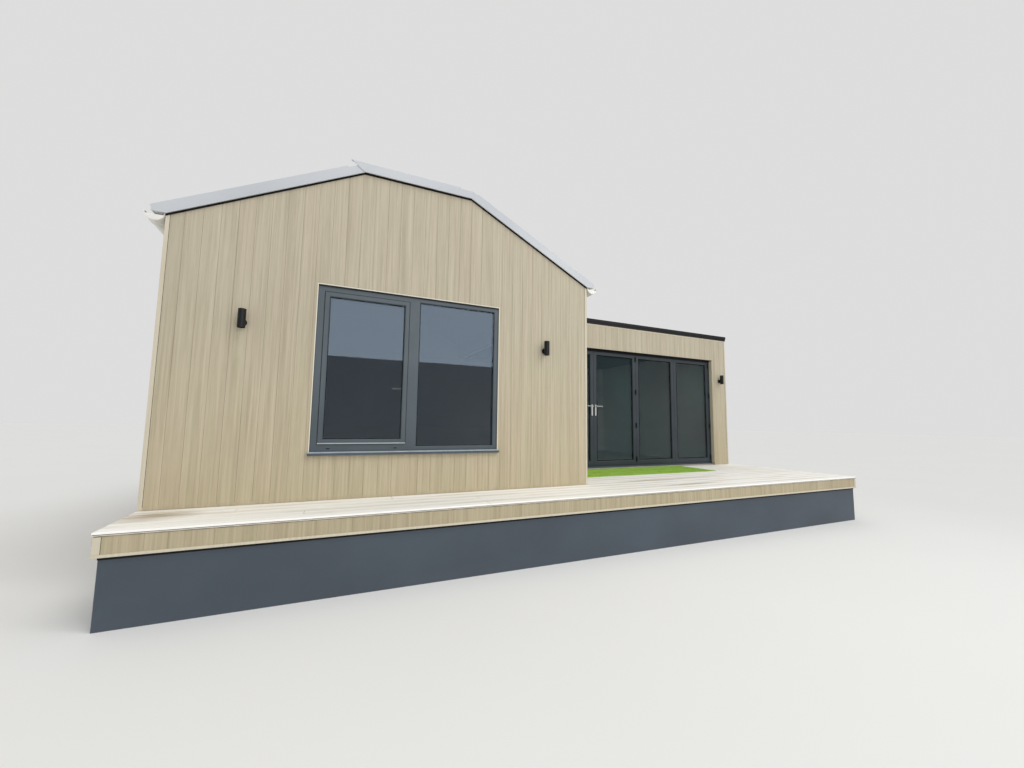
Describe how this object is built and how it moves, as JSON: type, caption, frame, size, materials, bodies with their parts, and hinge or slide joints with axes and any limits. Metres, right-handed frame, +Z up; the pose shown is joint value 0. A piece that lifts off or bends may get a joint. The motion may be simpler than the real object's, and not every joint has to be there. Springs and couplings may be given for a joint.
{
  "type": "garden office pod",
  "caption": "Garden office pod: front-gabled room with a truncated roof, a lower flat-roofed wing with a folding glass door, and one deck on a skirt in front of both.",
  "frame": {"origin": "on the ground, under the centre of the whole outline", "axes": "+X to the right along the front, +Y from the front to the back, +Z up"},
  "size_m": [9.44, 6.382, 4.304],
  "materials": {
    "composite_cladding": "upright composite boards, matt, streaked grain",
    "composite_decking": "pale composite deck boards, matt, fine grooves",
    "skirt_board": "smooth slate-grey panels, satin",
    "treated_timber": "rough sawn, treated",
    "floor_finish": "pale grey laminate boards, satin",
    "painted_lining": "white painted plaster lining, matt",
    "roof_laminate": "light grey glass-fibre laminate, satin",
    "roof_trim": "light grey folded trim, satin",
    "gutter_plastic": "white moulded, semi-gloss",
    "roof_membrane": "dark grey membrane, matt",
    "edge_trim": "black trim, satin",
    "window_paint": "blue-grey powder coat, satin",
    "door_paint": "anthracite powder coat, satin",
    "window_glass": "clear sealed unit",
    "door_glass": "clear sealed unit with a green tint",
    "handle_metal": "satin stainless",
    "hinge_metal": "black, satin",
    "light_paint": "black powder coat, matt",
    "turf": "bright green short-pile artificial turf"
  },
  "bodies": {
    "root": {"support_posts": "treated_timber", "floor_frame": "treated_timber", "deck_frame": "treated_timber", "skirt_front": "skirt_board", "skirt_back": "skirt_board", "skirt_left": "skirt_board", "skirt_right": "skirt_board", "deck_fascia": "composite_cladding", "deck_boards": "composite_decking", "floor": "floor_finish", "gable_front_wall": "painted_lining", "gable_back_wall": "painted_lining", "gable_left_wall": "painted_lining", "gable_right_wall": "painted_lining", "eaves_beam": "painted_lining", "wing_front_wall": "painted_lining", "wing_right_wall": "painted_lining", "wing_back_wall": "painted_lining", "gable_front_cladding": "composite_cladding", "gable_left_cladding": "composite_cladding", "gable_right_cladding": "composite_cladding", "wing_front_cladding": "composite_cladding", "wing_right_cladding": "composite_cladding", "back_cladding": "composite_cladding", "roof_slope_left": "roof_laminate", "roof_slope_right": "roof_laminate", "roof_crown": "roof_laminate", "verge_trims_front": "roof_trim", "verge_trims_back": "roof_trim", "gutter_left": "gutter_plastic", "gutter_right": "gutter_plastic", "downpipes": "gutter_plastic", "wing_roof": "roof_membrane", "wing_edge_trim": "edge_trim", "roof_flashing": "roof_trim", "window_frame": "window_paint", "window_sash": "window_paint", "window_sill": "window_paint", "window_glass": "window_glass", "window_handle": "handle_metal", "door_frame": "door_paint", "door_leaf_1": "door_paint", "door_leaf_2": "door_paint", "door_leaf_3": "door_paint", "door_leaf_4": "door_paint", "door_glass": "door_glass", "door_handles": "handle_metal", "door_hinges": "hinge_metal", "wall_lights": "light_paint", "turf_mat": "turf"}
  },
  "joints": []
}
